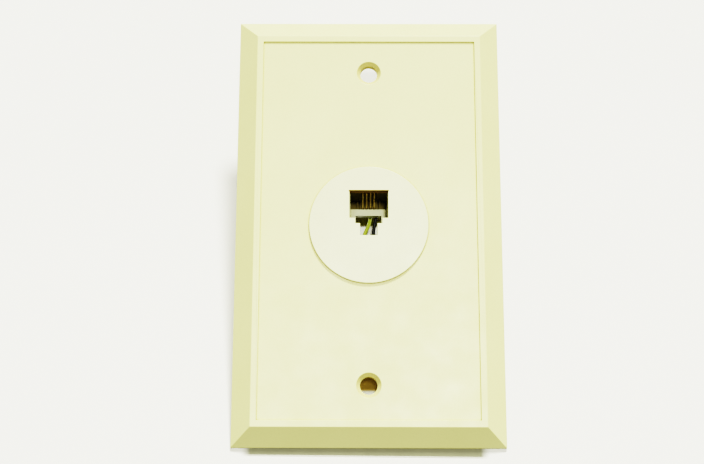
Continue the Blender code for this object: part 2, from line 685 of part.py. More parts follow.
def build_all():
    clear_scene()
    ivory = make_material("ivory_plastic", (0.85, 0.81, 0.62), 0.42)
    pale = make_material("pale_ivory_plastic", (0.87, 0.86, 0.72), 0.40)
    grey_ivory = make_material("grey_ivory_plastic", (0.70, 0.71, 0.56), 0.42)
    gold = make_material("gold_wire", (0.83, 0.62, 0.23), 0.25, 1.0)
    brass = make_material("brass", (0.78, 0.60, 0.28), 0.30, 1.0)
    steel = make_material("plated_steel", (0.75, 0.75, 0.76), 0.28, 1.0)
    lead_materials = {
        "black": make_material("black_lead", (0.02, 0.02, 0.022), 0.45),
        "red": make_material("red_lead", (0.60, 0.03, 0.03), 0.45),
        "green": make_material("green_lead", (0.03, 0.30, 0.08), 0.45),
        "yellow": make_material("yellow_lead", (0.75, 0.68, 0.08), 0.45),
    }

    build_wall_plate(ivory)
    build_jack_cover(pale)
    build_jack_insert(grey_ivory)
    build_lead_retainer(pale)
    build_terminal_base(ivory)
    build_base_screw("base_screw_left", -1, steel)
    build_base_screw("base_screw_right", 1, steel)

    for number, colour in enumerate(LEAD_OF_CONTACT, start=1):
        build_contact_tail(number, number, gold)
        build_contact_spring(number, number, gold)
        build_lead(colour, number, lead_materials[colour])

    for colour in TERMINALS:
        build_terminal_plate(colour, brass)
        build_spade_lug(colour, brass)
        washer = build_terminal_washer(colour, brass)
        screw = build_terminal_screw(colour, brass)
        x, z = terminal_centre(colour)
        axis = add_axis(f"terminal_axis_{colour}", Vector((x, HEAD_SEAT, z)))
        hang_on(washer, axis)
        hang_on(screw, axis)


build_all()
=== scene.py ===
"""Looks for the telephone wall plate: camera, table, lights, materials and finely made pieces.

The plate's lower back edge rests on a pale table. The table leans away behind the plate, and clears
the jack and terminals that stick out there. Metres, +Z up, and the plate's face looks along -Y.
"""
import json
import math

import bmesh
import bpy
from mathutils import Matrix, Vector


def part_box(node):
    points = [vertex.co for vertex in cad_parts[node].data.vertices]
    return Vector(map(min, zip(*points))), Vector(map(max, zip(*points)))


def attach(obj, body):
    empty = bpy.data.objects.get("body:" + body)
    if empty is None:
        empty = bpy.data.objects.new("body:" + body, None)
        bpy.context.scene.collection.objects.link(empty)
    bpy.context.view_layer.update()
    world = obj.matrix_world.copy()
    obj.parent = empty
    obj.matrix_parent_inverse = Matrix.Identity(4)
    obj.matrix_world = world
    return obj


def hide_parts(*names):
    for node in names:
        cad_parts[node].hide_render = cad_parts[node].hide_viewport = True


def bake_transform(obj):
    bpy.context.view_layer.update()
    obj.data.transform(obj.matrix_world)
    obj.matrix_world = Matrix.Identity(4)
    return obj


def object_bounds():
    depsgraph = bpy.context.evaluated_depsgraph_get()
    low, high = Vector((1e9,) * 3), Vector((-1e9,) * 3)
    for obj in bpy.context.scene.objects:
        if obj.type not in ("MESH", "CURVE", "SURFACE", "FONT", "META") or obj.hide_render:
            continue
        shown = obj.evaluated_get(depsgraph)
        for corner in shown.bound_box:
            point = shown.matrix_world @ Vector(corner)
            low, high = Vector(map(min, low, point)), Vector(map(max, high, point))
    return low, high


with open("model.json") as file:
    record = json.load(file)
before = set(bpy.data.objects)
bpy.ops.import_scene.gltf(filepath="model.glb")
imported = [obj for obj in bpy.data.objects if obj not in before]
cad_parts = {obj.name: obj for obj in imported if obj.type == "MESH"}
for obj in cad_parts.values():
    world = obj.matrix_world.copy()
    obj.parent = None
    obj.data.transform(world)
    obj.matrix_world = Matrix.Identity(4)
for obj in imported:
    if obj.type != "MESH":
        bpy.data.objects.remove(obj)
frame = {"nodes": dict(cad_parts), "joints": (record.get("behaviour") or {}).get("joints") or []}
cad_low, cad_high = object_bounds()

MM = 0.001
COLOURS = ("black", "red", "green", "yellow")
NODES = frame["nodes"]


# ---------------------------------------------------------------- camera, table and lights

CAMERA_PLACE = Vector((-2.64, -316.9, -74.76)) * MM
CAMERA_TURN_DEG = (103.10, -0.17, 0.275)
CAMERA_LENS_MM = 63.27
SENSOR_WIDTH_MM = 36.0

TABLE_LEAN_DEG = 15.0
TABLE_REACH = 1.5
TABLE_APRON = 14 * MM
TABLE_COLOUR = (0.97, 0.97, 1.0)
# Painted shade on the table: its colour is multiplied darker and browner close under the lower screw hole
# and behind the socket's latch slot.
UNDERSIDE_PAINTED_SHADES = (
    (Vector((-6.0, 0.0, -42.0)) * MM, Vector((6.0, 30.0, -30.0)) * MM, (0.70, 0.47, 0.17)),
    (Vector((-12.0, 0.0, 4.75)) * MM, Vector((12.0, 60.0, 30.0)) * MM, (0.40, 0.38, 0.08)),
)
UNDERSIDE_SHADE_BLUR = (0.5 * MM, 0.5 * MM, 0.5 * MM)

# A low frontal light, which reaches into the socket, and a steep one from above.
FRONT_LIGHT_DIRECTION = Vector((0.07, -0.98, 0.05))
FRONT_LIGHT_STRENGTH = 2.5
FRONT_LIGHT_ANGLE_DEG = 7.0
TOP_LIGHT_DIRECTION = Vector((0.15, -0.53, 0.83))
TOP_LIGHT_STRENGTH = 5.0
TOP_LIGHT_ANGLE_DEG = 9.0
LIGHT_COLOUR = (1.0, 0.99, 0.80)
FILL_COLOUR = (1.0, 0.95, 0.66)
FILL_STRENGTH = 0.13
BACKDROP_COLOUR = (1.0, 1.0, 0.98)
BACKDROP_STRENGTH = 2.6
BACK_LIGHTS = ((Vector((-0.60, 0.70, 0.45)), 2.6), (Vector((0.70, 0.60, 0.30)), 1.8))
BACK_LIGHT_ANGLE_DEG = 40.0

# Unseen cards that keep light off the table: a strip under the plate's lower edge, and a patch
# behind its lower screw hole. Corners are measured across and up the table.
STRIP_CORNERS = ((-32.2 * MM, -1.75 * MM), (30.6 * MM, -2.25 * MM), (30.6 * MM, 0.0),
                 (-32.2 * MM, 0.0))
STRIP_FADE = (2.2 * MM, 0.05 * MM)
HOLE_CORNERS = ((-6 * MM, 14.5 * MM), (6 * MM, 14.3 * MM), (6 * MM, 24 * MM), (-6 * MM, 24 * MM))
HOLE_FADE = (1.0 * MM, 1.6 * MM)
CARD_LIFT = 0.4 * MM
CARD_LIGHT = (0.15, 0.155, 0.105)


def make_camera():
    """A camera a little below the plate, looking up at it."""
    data = bpy.data.cameras.new("camera")
    data.lens = CAMERA_LENS_MM
    data.sensor_width = SENSOR_WIDTH_MM
    data.clip_start = 10 * MM
    camera = bpy.data.objects.new("camera", data)
    camera.location = CAMERA_PLACE
    camera.rotation_euler = [math.radians(angle) for angle in CAMERA_TURN_DEG]
    bpy.context.scene.collection.objects.link(camera)
    bpy.context.scene.camera = camera


def make_sun(name, direction, strength, angle_deg, colour=(1.0, 1.0, 1.0)):
    """A sun that shines from that direction. Returns the light object."""
    data = bpy.data.lights.new(name, "SUN")
    data.energy = strength
    data.angle = math.radians(angle_deg)
    data.color = colour
    sun = bpy.data.objects.new(name, data)
    sun.rotation_mode = "QUATERNION"
    sun.rotation_quaternion = (-direction).to_track_quat("-Z", "Y")
    bpy.context.scene.collection.objects.link(sun)
    return sun


def make_lights():
    """Two lights for the face, and two for the back that add nothing by bouncing into the socket."""
    make_sun("front_light", FRONT_LIGHT_DIRECTION, FRONT_LIGHT_STRENGTH, FRONT_LIGHT_ANGLE_DEG,
             LIGHT_COLOUR)
    make_sun("top_light", TOP_LIGHT_DIRECTION, TOP_LIGHT_STRENGTH, TOP_LIGHT_ANGLE_DEG,
             LIGHT_COLOUR)
    for index, (direction, strength) in enumerate(BACK_LIGHTS):
        back_light = make_sun(f"back_light_{index + 1}", direction, strength,
                              BACK_LIGHT_ANGLE_DEG)
        back_light.data.cycles.max_bounces = 0


def make_world():
    """Soft fill light all round, and a bright plain backdrop where nothing stands in the way."""
    world = bpy.data.worlds.new("studio")
    world.use_nodes = True
    bpy.context.scene.world = world
    nodes, links = world.node_tree.nodes, world.node_tree.links
    nodes.clear()
    output = nodes.new("ShaderNodeOutputWorld")
    mix = nodes.new("ShaderNodeMixShader")
    path = nodes.new("ShaderNodeLightPath")
    links.new(path.outputs["Is Camera Ray"], mix.inputs["Fac"])
    for slot, (colour, strength) in enumerate(((FILL_COLOUR, FILL_STRENGTH),
                                               (BACKDROP_COLOUR, BACKDROP_STRENGTH)), start=1):
        background = nodes.new("ShaderNodeBackground")
        background.inputs["Color"].default_value = (*colour, 1.0)
        background.inputs["Strength"].default_value = strength
        links.new(background.outputs["Background"], mix.inputs[slot])
    links.new(mix.outputs["Shader"], output.inputs["Surface"])


def table_sheet(name, corners, lift=0.0):
    """A flat sheet on the leaning table. Its corners are measured from the plate's lower back edge."""
    lean = math.radians(TABLE_LEAN_DEG)
    upwards = Vector((0.0, math.sin(lean), math.cos(lean)))
    outwards = Vector((0.0, -math.cos(lean), math.sin(lean)))
    edge = Vector((0.0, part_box("wall_plate")[1].y, cad_low.z)) + outwards * lift
    points = [edge + Vector((x, 0.0, 0.0)) + upwards * z for x, z in corners]
    mesh = bpy.data.meshes.new(name)
    mesh.from_pydata([tuple(point) for point in points], [], [(0, 1, 2, 3)])
    sheet = bpy.data.objects.new(name, mesh)
    bpy.context.scene.collection.objects.link(sheet)
    return sheet


def make_light_stop(name, corners, fade):
    """An unseen card just off the table that keeps most light from in front off it.

    It fades out towards its ends and its lower edge. Light from behind passes through it.
    """
    card = table_sheet(name, corners, lift=CARD_LIFT)
    for kind in ("camera", "diffuse", "glossy", "transmission"):
        setattr(card, f"visible_{kind}", False)
    material, nodes, links, shader = new_material(name)
    mottle = noise_value(nodes, links, scale=300)
    tint = ramp(nodes, links, mottle, (0.3, [1.1 * part for part in CARD_LIGHT]),
                (0.7, [0.9 * part for part in CARD_LIGHT]))
    across, up = fade
    low = Vector((corners[0][0] + across, -1.0, card.data.vertices[1].co.z + up))
    high = Vector((corners[1][0] - across, 1.0, 1.0))
    middle = inside_box(nodes, links, low, high, blur=(across, up, up))
    geometry = nodes.new("ShaderNodeNewGeometry")
    share = maths(nodes, links, "MULTIPLY", middle, geometry.outputs["Backfacing"])
    clear = nodes.new("ShaderNodeBsdfTransparent")
    links.new(mixed(nodes, links, share, grey(1.0), tint), clear.inputs["Color"])
    links.new(clear.outputs["BSDF"], nodes["output"].inputs["Surface"])
    nodes.remove(shader)
    card.data.materials.append(material)


def see_through(nodes, links, shader, share):
    """Mix that share of clear into a surface."""
    clear = nodes.new("ShaderNodeBsdfTransparent")
    mix = nodes.new("ShaderNodeMixShader")
    links.new(share, mix.inputs["Fac"])
    links.new(shader.outputs["BSDF"], mix.inputs[1])
    links.new(clear.outputs["BSDF"], mix.inputs[2])
    links.new(mix.outputs["Shader"], nodes["output"].inputs["Surface"])


def make_table():
    """A pale table, seen from its upper side only. It throws no light back on the plate."""
    table = table_sheet("table", ((-TABLE_REACH, -TABLE_APRON), (TABLE_REACH, -TABLE_APRON),
                                  (TABLE_REACH, TABLE_REACH), (-TABLE_REACH, TABLE_REACH)))
    table.visible_shadow = False
    table.visible_diffuse = False

    material, nodes, links, shader = new_material("table_white")
    shader.inputs["Roughness"].default_value = 0.9
    mottle = noise_value(nodes, links, scale=14, detail=2)
    shade = ramp(nodes, links, mottle, (0.3, [0.97 * part for part in TABLE_COLOUR]), (0.7, TABLE_COLOUR))
    # Painted shade: the table's colour is made darker and browner in each box, under the lower screw hole
    # and behind the latch slot.
    for low, high, tint in UNDERSIDE_PAINTED_SHADES:
        inside = inside_box(nodes, links, low, high, blur=UNDERSIDE_SHADE_BLUR)
        shade = mixed(nodes, links, inside, shade, tint, "MULTIPLY")
    links.new(shade, shader.inputs["Base Color"])
    geometry = nodes.new("ShaderNodeNewGeometry")
    see_through(nodes, links, shader, geometry.outputs["Backfacing"])
    table.data.materials.append(material)


# ---------------------------------------------------------------- material building blocks

def new_material(name):
    """A material with only a Principled shader. Returns it with its nodes, links and shader."""
    material = bpy.data.materials.new(name)
    material.use_nodes = True
    nodes, links = material.node_tree.nodes, material.node_tree.links
    nodes.clear()
    output = nodes.new("ShaderNodeOutputMaterial")
    output.name = "output"
    shader = nodes.new("ShaderNodeBsdfPrincipled")
    links.new(shader.outputs["BSDF"], output.inputs["Surface"])
    return material, nodes, links, shader


def noise_value(nodes, links, scale, detail=3.0, roughness=0.5, stretch=(1.0, 1.0, 1.0)):
    """Noise in the piece's own coordinates. The scale is in features per metre."""
    place = nodes.new("ShaderNodeTexCoord")
    mapping = nodes.new("ShaderNodeMapping")
    mapping.inputs["Scale"].default_value = stretch
    texture = nodes.new("ShaderNodeTexNoise")
    texture.inputs["Scale"].default_value = scale
    texture.inputs["Detail"].default_value = detail
    texture.inputs["Roughness"].default_value = roughness
    links.new(place.outputs["Object"], mapping.inputs["Vector"])
    links.new(mapping.outputs["Vector"], texture.inputs["Vector"])
    return texture.outputs["Fac"]


def ramp(nodes, links, source, low, high):
    """Colours between two stops, each given as (position of the source value, colour)."""
    node = nodes.new("ShaderNodeValToRGB")
    for stop, (position, colour) in zip(node.color_ramp.elements, (low, high)):
        stop.position = position
        stop.color = (*colour, 1.0)
    links.new(source, node.inputs["Fac"])
    return node.outputs["Color"]


def mixed(nodes, links, share, first, second, blend="MIX"):
    """Two colours mixed or multiplied. Share and colours are values or sockets."""
    node = nodes.new("ShaderNodeMix")
    node.data_type = "RGBA"
    node.blend_type = blend
    # A mix node has sockets for every data type, so its colour sockets are picked by number.
    for number, value in ((0, share), (6, first), (7, second)):
        if isinstance(value, bpy.types.NodeSocket):
            links.new(value, node.inputs[number])
        else:
            node.inputs[number].default_value = value if number == 0 else (*value, 1.0)
    return node.outputs[2]


def bump(nodes, links, height, distance, under=None):
    """A bumped normal, on top of another one if it is given."""
    node = nodes.new("ShaderNodeBump")
    node.inputs["Distance"].default_value = distance
    links.new(height, node.inputs["Height"])
    if under is not None:
        links.new(under, node.inputs["Normal"])
    return node.outputs["Normal"]


def grey(value):
    return (value, value, value)


def maths(nodes, links, operation, first, second=None):
    """One step of arithmetic on values or sockets."""
    node = nodes.new("ShaderNodeMath")
    node.operation = operation
    for socket, value in zip(node.inputs, (first, second)):
        if isinstance(value, bpy.types.NodeSocket):
            links.new(value, socket)
        elif value is not None:
            socket.default_value = value
    return node.outputs["Value"]


def inside_box(nodes, links, low, high, blur=(0.1 * MM, 0.1 * MM, 0.1 * MM)):
    """1 inside a box in the piece's own coordinates, and 0 outside, with blurred walls."""
    place = nodes.new("ShaderNodeTexCoord")
    split = nodes.new("ShaderNodeSeparateXYZ")
    links.new(place.outputs["Object"], split.inputs["Vector"])
    inside = None
    for axis, (least, most, soft) in enumerate(zip(low, high, blur)):
        offset = maths(nodes, links, "SUBTRACT", split.outputs[axis], (least + most) / 2)
        distance = maths(nodes, links, "ABSOLUTE", offset)
        wall = nodes.new("ShaderNodeMapRange")
        wall.inputs["From Min"].default_value = (most - least) / 2 + soft
        wall.inputs["From Max"].default_value = (most - least) / 2
        links.new(distance, wall.inputs["Value"])
        inside = (wall.outputs["Result"] if inside is None
                  else maths(nodes, links, "MULTIPLY", inside, wall.outputs["Result"]))
    return inside


# ---------------------------------------------------------------- materials

# Painted shade from ambient occlusion: darker in the finest corners, and faintly darker and yellower
# round the wider hollows.
CORNER_PAINTED_SHADE = ((0.55 * MM, (0.42, (0.50, 0.46, 0.26)), (0.82, (1.0, 1.0, 1.0))),
         (2.8 * MM, (0.40, (0.86, 0.81, 0.50)), (0.90, (1.0, 1.0, 1.0))))


def plastic(name, light, dark, roughness, painted_shades=()):
    """Satin moulded plastic: faint clouding, a fine moulded grain and painted shade in the corners.

    Each painted shade is a box, as (lowest corner, highest corner, colour), with that colour in it.
    """
    material, nodes, links, shader = new_material(name)
    clouding = noise_value(nodes, links, scale=55, detail=4)
    colour = ramp(nodes, links, clouding, (0.30, dark), (0.70, light))
    specks = noise_value(nodes, links, scale=2600, detail=2)
    speck_shade = ramp(nodes, links, specks, (0.30, grey(0.965)), (0.55, grey(1.0)))
    colour = mixed(nodes, links, 1.0, colour, speck_shade, "MULTIPLY")
    # Painted shade: the colour darkens and yellows where ambient occlusion finds close surfaces, in
    # corners and hollows.
    for reach, low, high in CORNER_PAINTED_SHADE:
        corners = nodes.new("ShaderNodeAmbientOcclusion")
        corners.samples = 8
        corners.inputs["Distance"].default_value = reach
        corner_shade = ramp(nodes, links, corners.outputs["AO"], low, high)
        colour = mixed(nodes, links, 1.0, colour, corner_shade, "MULTIPLY")
    # Painted shade: each box's colour replaces the plastic's colour inside it.
    for low, high, shade in painted_shades:
        colour = mixed(nodes, links, inside_box(nodes, links, low, high), colour, shade)
    links.new(colour, shader.inputs["Base Color"])
    polish = noise_value(nodes, links, scale=160, detail=3)
    polish = ramp(nodes, links, polish, (0.25, grey(roughness - 0.05)), (0.75, grey(roughness + 0.07)))
    for low, high, _ in painted_shades:
        polish = mixed(nodes, links, inside_box(nodes, links, low, high), polish, grey(0.9))
    links.new(polish, shader.inputs["Roughness"])
    grain = noise_value(nodes, links, scale=3800, detail=4, roughness=0.6)
    ripple = noise_value(nodes, links, scale=260, detail=2)
    normal = bump(nodes, links, ripple, distance=0.012 * MM)
    links.new(bump(nodes, links, grain, distance=0.006 * MM, under=normal), shader.inputs["Normal"])
    return material


def metal(name, bright, dull, roughness, stretch, tarnish_from=0.45):
    """Drawn or stamped metal: fine lines along the stretch, and dull patches."""
    material, nodes, links, shader = new_material(name)
    shader.inputs["Metallic"].default_value = 1.0
    patches = noise_value(nodes, links, scale=420, detail=5, roughness=0.6)
    links.new(ramp(nodes, links, patches, (tarnish_from, bright), (tarnish_from + 0.3, dull)),
              shader.inputs["Base Color"])
    links.new(ramp(nodes, links, patches, (0.35, grey(roughness)), (0.75, grey(roughness + 0.22))),
              shader.inputs["Roughness"])
    lines = noise_value(nodes, links, scale=2500, detail=3, stretch=stretch)
    links.new(bump(nodes, links, lines, distance=0.006 * MM), shader.inputs["Normal"])
    return material


def insulation(name, colour, worn):
    """Smooth vinyl over a stranded core, a little uneven and dusty."""
    material, nodes, links, shader = new_material(name)
    shader.inputs["Specular IOR Level"].default_value = 0.2
    dust = noise_value(nodes, links, scale=900, detail=5, roughness=0.65)
    links.new(ramp(nodes, links, dust, (0.42, colour), (0.80, worn)), shader.inputs["Base Color"])
    links.new(ramp(nodes, links, dust, (0.30, grey(0.34)), (0.75, grey(0.55))),
              shader.inputs["Roughness"])
    uneven = noise_value(nodes, links, scale=1300, detail=2)
    links.new(bump(nodes, links, uneven, distance=0.02 * MM), shader.inputs["Normal"])
    return material


# Painted shade: darker, browner colour in boxes where shade falls: on the screw holes' bores, under the
# socket's lip, and in the socket behind the contacts.
SHADE = (0.095, 0.074, 0.017)
LIP_PAINTED_SHADE = (0.26, 0.15, 0.015)
# Painted shade: darker, yellower colour on the screw holes' bores.
HOLE_PAINTED_SHADE = (0.68, 0.61, 0.27)
PLATE_PAINTED_SHADES = tuple((Vector((-3.4, -3.95, low)) * MM, Vector((3.4, -1.8, low + 6.9)) * MM, HOLE_PAINTED_SHADE)
                     for low in (-45.1, 38.2))
# Painted shade: dark brown on the underside of the socket's lip.
COVER_PAINTED_SHADES = ((Vector((-5.2, -4.8, 8.8)) * MM, Vector((5.2, -1.7, 9.12)) * MM, LIP_PAINTED_SHADE),)
# Painted shade: dark brown in the socket behind the contacts.
INSERT_PAINTED_SHADES = ((Vector((-4.98, -1.7, 6.68)) * MM, Vector((4.98, 10.2, 9.3)) * MM, SHADE),)


def make_materials():
    return {
        "ivory_plastic": plastic("ivory_plastic", (0.80, 0.79, 0.39), (0.772, 0.762, 0.365), 0.42,
                                 PLATE_PAINTED_SHADES),
        "pale_ivory_plastic": plastic("pale_ivory_plastic", (0.83, 0.84, 0.54),
                                      (0.805, 0.81, 0.505), 0.40, COVER_PAINTED_SHADES),
        "grey_ivory_plastic": plastic("grey_ivory_plastic", (0.52, 0.54, 0.38), (0.49, 0.505, 0.35),
                                      0.40, INSERT_PAINTED_SHADES),
        "gold_wire": metal("gold_wire", (0.62, 0.46, 0.18), (0.40, 0.29, 0.10), 0.27,
                           (1.0, 0.08, 0.08)),
        "brass": metal("brass", (0.76, 0.57, 0.26), (0.48, 0.33, 0.14), 0.28, (0.15, 1.0, 1.0)),
        "tinned_brass": metal("tinned_brass", (0.72, 0.71, 0.68), (0.50, 0.48, 0.44), 0.33,
                              (1.0, 1.0, 0.2)),
        "copper": metal("copper", (0.86, 0.46, 0.30), (0.52, 0.25, 0.15), 0.26, (1.0, 1.0, 1.0)),
        "plated_steel": metal("plated_steel", (0.70, 0.71, 0.74), (0.52, 0.52, 0.50), 0.27,
                              (1.0, 0.2, 1.0)),
        "black_insulation": insulation("black_insulation", (0.006, 0.006, 0.008),
                                       (0.022, 0.022, 0.024)),
        "red_insulation": insulation("red_insulation", (0.52, 0.018, 0.020), (0.56, 0.10, 0.09)),
        "green_insulation": insulation("green_insulation", (0.02, 0.24, 0.07), (0.10, 0.30, 0.14)),
        "yellow_insulation": insulation("yellow_insulation", (0.34, 0.42, 0.035),
                                        (0.46, 0.49, 0.12)),
    }


# ---------------------------------------------------------------- mesh building blocks

def skin(name, rings, closed=False):
    """Join rings of points into one skin: with flat ends, or closed on itself like a tyre."""
    model = bmesh.new()
    rows = [[model.verts.new(point) for point in ring] for ring in rings]
    followers = rows[1:]
    if closed:
        followers.append(rows[0])
    else:
        model.faces.new(rows[0])
        model.faces.new(rows[-1])
    for row, after in zip(rows, followers):
        for step in range(len(row)):
            follower = (step + 1) % len(row)
            model.faces.new((row[step], row[follower], after[follower], after[step]))
    bmesh.ops.recalc_face_normals(model, faces=model.faces)
    mesh = bpy.data.meshes.new(name)
    model.to_mesh(mesh)
    model.free()
    piece = bpy.data.objects.new(name, mesh)
    bpy.context.scene.collection.objects.link(piece)
    return piece


def smooth(piece, angle_deg=35.0):
    piece.data.shade_smooth()
    piece.data.set_sharp_from_angle(angle=math.radians(angle_deg))


def sweep(name, points, radii, sides):
    """A tube through the points. Its rings are carried along without twist."""
    tangents = []
    for index in range(len(points)):
        ahead = points[min(index + 1, len(points) - 1)]
        behind = points[max(index - 1, 0)]
        tangents.append((ahead - behind).normalized())
    across = tangents[0].orthogonal().normalized()
    rings = []
    for point, tangent, radius in zip(points, tangents, radii):
        across = (across - across.dot(tangent) * tangent).normalized()
        other = tangent.cross(across)
        rings.append([point + radius * (across * math.cos(turn) + other * math.sin(turn))
                      for turn in full_turn(sides)])
    piece = skin(name, rings)
    smooth(piece, 60.0)
    return piece


def full_turn(sides):
    return [2 * math.pi * step / sides for step in range(sides)]


def with_round_ends(points, radius, steps=4):
    """The points and a radius for each, with extra rings that round off both ends."""
    start_way = (points[0] - points[1]).normalized()
    end_way = (points[-1] - points[-2]).normalized()
    turns = [math.pi / 2 * step / (steps + 0.5) for step in range(1, steps + 1)]
    head = [(points[0] + start_way * radius * (math.sin(turn) - 1), radius * math.cos(turn))
            for turn in reversed(turns)]
    tail = [(points[-1] + end_way * radius * (math.sin(turn) - 1), radius * math.cos(turn))
            for turn in turns]
    inner = [(point, radius) for point in points[1:-1]]
    first = [(points[0] - start_way * radius, radius)]
    last = [(points[-1] - end_way * radius, radius)]
    joined = head + first + inner + last + tail
    return [point for point, _ in joined], [size for _, size in joined]


def smooth_route(route, step):
    """Points about a step apart on a smooth curve through the route (Catmull-Rom)."""
    points = [Vector(point) for point in route]
    ends = [2 * points[0] - points[1]] + points + [2 * points[-1] - points[-2]]
    result = [points[0]]
    for before, start, stop, after in zip(ends, ends[1:], ends[2:], ends[3:]):
        count = max(1, round((stop - start).length / step))
        for index in range(1, count + 1):
            t = index / count
            result.append(0.5 * (2 * start + (stop - before) * t
                                 + (2 * before - 5 * start + 4 * stop - after) * t ** 2
                                 + (3 * start - before - 3 * stop + after) * t ** 3))
    return result


def boolean_cut(piece, cutter):
    """Cut one solid out of another and remove the cutter."""
    modifier = piece.modifiers.new("cut", "BOOLEAN")
    modifier.operation = "DIFFERENCE"
    modifier.solver = "EXACT"
    modifier.object = cutter
    evaluated = piece.evaluated_get(bpy.context.evaluated_depsgraph_get())
    piece.data = bpy.data.meshes.new_from_object(evaluated)
    piece.modifiers.clear()
    bpy.data.objects.remove(cutter, do_unlink=True)


def dress(piece, slot, body=None):
    """Give a new piece the material for its slot, and the body it rides on if one is given."""
    piece.data.materials.clear()
    piece.data.materials.append(MATERIALS[slot])
    if body is not None:
        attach(piece, body)


# ---------------------------------------------------------------- carried-over CAD pieces

SMOOTH_BELOW = math.radians(35)


def angle_smoothing_group():
    """Geometry nodes that shade faces smooth, except across edges sharper than the limit."""
    group = bpy.data.node_groups.new("smooth_by_angle", "GeometryNodeTree")
    group.interface.new_socket("Geometry", in_out="INPUT", socket_type="NodeSocketGeometry")
    group.interface.new_socket("Geometry", in_out="OUTPUT", socket_type="NodeSocketGeometry")
    nodes, links = group.nodes, group.links
    start = nodes.new("NodeGroupInput")
    end = nodes.new("NodeGroupOutput")
    faces = nodes.new("GeometryNodeSetShadeSmooth")
    faces.domain = "FACE"
    faces.inputs["Shade Smooth"].default_value = True
    edges = nodes.new("GeometryNodeSetShadeSmooth")
    edges.domain = "EDGE"
    angle = nodes.new("GeometryNodeInputMeshEdgeAngle")
    compare = nodes.new("FunctionNodeCompare")
    compare.data_type = "FLOAT"
    compare.operation = "LESS_EQUAL"
    compare.inputs["B"].default_value = SMOOTH_BELOW
    links.new(angle.outputs["Unsigned Angle"], compare.inputs["A"])
    links.new(start.outputs["Geometry"], faces.inputs["Geometry"])
    links.new(faces.outputs["Geometry"], edges.inputs["Geometry"])
    links.new(compare.outputs["Result"], edges.inputs["Shade Smooth"])
    links.new(edges.outputs["Geometry"], end.inputs["Geometry"])
    return group


WELD_DISTANCE = 0.002 * MM
FLAT_WITHIN = math.radians(0.5)
EDGE_FROM = math.radians(28)


def round_edges(node, slot, width, segments=3):
    """Keep a CAD piece, give it its material and soften its edges."""
    piece = NODES[node]
    weld = piece.modifiers.new("weld", "WELD")
    weld.merge_threshold = WELD_DISTANCE
    flat = piece.modifiers.new("join_flat_faces", "DECIMATE")
    flat.decimate_type = "DISSOLVE"
    flat.angle_limit = FLAT_WITHIN
    bevel = piece.modifiers.new("edge_radius", "BEVEL")
    bevel.width = width
    bevel.segments = segments
    bevel.limit_method = "ANGLE"
    bevel.angle_limit = EDGE_FROM
    bevel.miter_outer = "MITER_ARC"
    shading = piece.modifiers.new("shading", "NODES")
    shading.node_group = SMOOTHING
    weighted = piece.modifiers.new("flat_faces_stay_flat", "WEIGHTED_NORMAL")
    weighted.keep_sharp = True
    piece.data.materials.clear()
    piece.data.materials.append(MATERIALS[slot])


# ---------------------------------------------------------------- contacts

CONTACT_RADIUS = 0.23 * MM
CONTACT_BEND = 0.45 * MM
CONTACT_SLOPE = math.radians(13.4)
CONTACT_STEP = 0.25 * MM
WIRE_SIDES = 16


def make_contact(number):
    """One spring wire: along the insert's top, over its front lip, down, and back into the comb."""
    joint = next(j for j in frame["joints"] if j["name"] == f"contact_lift_{number}")
    hinge = Vector(joint["pos_m"])
    tail_low, tail_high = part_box(f"contact_tail_{number}")
    spring_low, spring_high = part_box(f"contact_spring_{number}")
    x = hinge.x
    front = tail_low.y + CONTACT_RADIUS
    run_level = tail_high.z - CONTACT_RADIUS
    corner_y = front + CONTACT_BEND
    top_corner = run_level - CONTACT_BEND
    foot_corner = hinge.z + CONTACT_BEND * math.sin(math.pi / 2 - CONTACT_SLOPE)
    points = straight((x, tail_high.y, run_level), (x, corner_y, run_level))
    for degrees in range(80, -1, -10):
        turn = math.radians(degrees)
        points.append(Vector((x, corner_y - CONTACT_BEND * math.cos(turn),
                              top_corner + CONTACT_BEND * math.sin(turn))))
    points += straight(points[-1], (x, front, foot_corner))[1:]
    for degrees in range(10, 71, 10):
        turn = math.radians(degrees)
        points.append(Vector((x, corner_y - CONTACT_BEND * math.cos(turn),
                              foot_corner - CONTACT_BEND * math.sin(turn))))
    length = (spring_high.y - hinge.y) / math.cos(CONTACT_SLOPE)
    along = Vector((0.0, math.cos(CONTACT_SLOPE), -math.sin(CONTACT_SLOPE)))
    points += straight(hinge, hinge + along * length)
    wire = sweep(f"contact_{number}", *with_round_ends(points, CONTACT_RADIUS), WIRE_SIDES)
    dress(wire, "gold_wire")
    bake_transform(wire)
    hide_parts(f"contact_tail_{number}", f"contact_spring_{number}")


def straight(start, stop, step=CONTACT_STEP):
    """Points about a step apart on a straight line, both ends included."""
    start, stop = Vector(start), Vector(stop)
    count = max(1, round((stop - start).length / step))
    return [start.lerp(stop, index / count) for index in range(count + 1)]


# ---------------------------------------------------------------- leads

